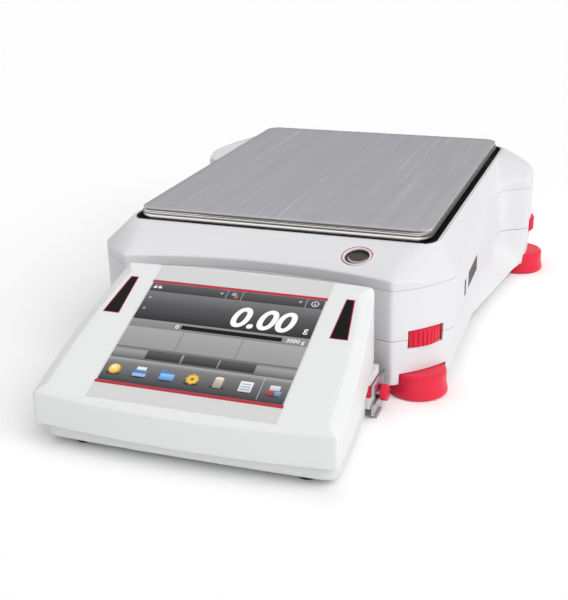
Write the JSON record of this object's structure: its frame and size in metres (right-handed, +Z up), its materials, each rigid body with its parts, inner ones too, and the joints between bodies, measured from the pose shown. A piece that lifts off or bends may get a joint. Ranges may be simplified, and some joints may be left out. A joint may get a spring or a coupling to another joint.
{
  "type": "laboratory balance",
  "caption": "Top-loading laboratory balance: brushed steel pan on a layered white housing, wheel-adjusted levelling feet and a tilted touch terminal docked in front.",
  "frame": {"origin": "middle of the whole balance in plan, on the bench under its feet", "axes": "+X to the user's right, +Y from the terminal to the rear panel, +Z up"},
  "size_m": [0.303, 0.4544, 0.098],
  "materials": {
    "housing_white": "smooth satin moulded plastic",
    "terminal_white": "smooth satin moulded plastic, slightly warm",
    "overlay_grey": "matt polyester overlay",
    "red_plastic": "moulded crimson plastic",
    "pan_steel": "brushed front to back, rim polished",
    "black_plastic": "matt black",
    "sensor_black": "infrared-clear black window",
    "dark_grey": "matt",
    "rubber": "matt black rubber",
    "steel": "plain turned steel",
    "aluminium": "plain",
    "circuit_board": "green solder mask",
    "display_glass": "touch glass",
    "vial_glass": "bubble vial"
  },
  "bodies": {
    "base": {"lower_housing": "housing_white", "upper_housing": "housing_white", "top_cover": "housing_white", "rear_panel": "dark_grey", "power_jack": "black_plastic", "serial_port": "aluminium", "usb_port": "aluminium", "chassis_plate": "aluminium", "weigh_cell": "aluminium", "cell_post": "steel", "main_board": "circuit_board", "board_pillars": "steel", "level_cup": "black_plastic", "level_vial": "vial_glass", "level_ring": "red_plastic", "latch_plugs": "dark_grey", "housing_screws": "steel", "terminal_socket": "black_plastic", "dock_bracket": "aluminium", "bracket_pads": "rubber", "bracket_screws": "steel"},
    "spider": {"pan_spider": "aluminium", "pan_buffers": "rubber"},
    "pan": {"weighing_pan": "pan_steel"},
    "wheel_front_left": {"level_wheel_front_left": "red_plastic"},
    "wheel_front_right": {"level_wheel_front_right": "red_plastic"},
    "wheel_rear_left": {"level_wheel_rear_left": "red_plastic"},
    "wheel_rear_right": {"level_wheel_rear_right": "red_plastic"},
    "foot_front_left": {"foot_front_left": "red_plastic", "foot_stud_front_left": "steel"},
    "foot_front_right": {"foot_front_right": "red_plastic", "foot_stud_front_right": "steel"},
    "foot_rear_left": {"foot_rear_left": "red_plastic", "foot_stud_rear_left": "steel"},
    "foot_rear_right": {"foot_rear_right": "red_plastic", "foot_stud_rear_right": "steel"},
    "terminal": {"terminal_top_shell": "terminal_white", "terminal_bottom_shell": "terminal_white", "display_overlay": "overlay_grey", "display_glass": "display_glass", "display_panel": "black_plastic", "sensor_window_left": "sensor_black", "sensor_window_right": "sensor_black", "terminal_board": "circuit_board", "terminal_plug": "black_plastic", "terminal_feet": "rubber", "terminal_screws": "steel", "dock_cleat_left": "red_plastic", "dock_cleat_right": "red_plastic"},
    "knob_left": {"clamp_knob_left": "red_plastic", "clamp_stud_left": "steel"},
    "knob_right": {"clamp_knob_right": "red_plastic", "clamp_stud_right": "steel"},
    "hook_plug": {"hook_plug": "dark_grey"}
  },
  "joints": [
    {"name": "spider_lift", "type": "slide", "parent": "base", "child": "spider", "axis": [0, 0, 1], "range_m": [0, 0.04]},
    {"name": "pan_lift", "type": "slide", "parent": "spider", "child": "pan", "axis": [0, 0, 1], "range_m": [0, 0.06]},
    {"name": "wheel_turn_front_left", "type": "hinge", "parent": "base", "child": "wheel_front_left", "pos_m": [-0.09823, -0.07784, 0.04], "axis": [0, 0, 1], "range_deg": [0, 1440]},
    {"name": "wheel_turn_front_right", "type": "hinge", "parent": "base", "child": "wheel_front_right", "pos_m": [0.09823, -0.07784, 0.04], "axis": [0, 0, 1], "range_deg": [0, 1440]},
    {"name": "wheel_turn_rear_left", "type": "hinge", "parent": "base", "child": "wheel_rear_left", "pos_m": [-0.12456, 0.16858, 0.04], "axis": [0, 0, 1], "range_deg": [0, 1440]},
    {"name": "wheel_turn_rear_right", "type": "hinge", "parent": "base", "child": "wheel_rear_right", "pos_m": [0.12456, 0.16858, 0.04], "axis": [0, 0, 1], "range_deg": [0, 1440]},
    {"name": "foot_travel_front_left", "type": "slide", "parent": "base", "child": "foot_front_left", "axis": [0, 0, -1], "range_m": [0, 0.005]},
    {"name": "foot_travel_front_right", "type": "slide", "parent": "base", "child": "foot_front_right", "axis": [0, 0, -1], "range_m": [0, 0.005]},
    {"name": "foot_travel_rear_left", "type": "slide", "parent": "base", "child": "foot_rear_left", "axis": [0, 0, -1], "range_m": [0, 0.005]},
    {"name": "foot_travel_rear_right", "type": "slide", "parent": "base", "child": "foot_rear_right", "axis": [0, 0, -1], "range_m": [0, 0.005]},
    {"name": "terminal_undock", "type": "slide", "parent": "base", "child": "terminal", "axis": [0, -1, 0], "range_m": [0, 0.05]},
    {"name": "knob_turn_left", "type": "hinge", "parent": "terminal", "child": "knob_left", "pos_m": [-0.091, -0.11826, 0.0125], "axis": [1, 0, 0], "range_deg": [-360, 360]},
    {"name": "knob_turn_right", "type": "hinge", "parent": "terminal", "child": "knob_right", "pos_m": [0.091, -0.11826, 0.0125], "axis": [1, 0, 0], "range_deg": [-360, 360]},
    {"name": "plug_turn", "type": "hinge", "parent": "base", "child": "hook_plug", "pos_m": [0, 0.07724, 0.02], "axis": [0, 0, 1], "range_deg": [0, 90]}
  ]
}
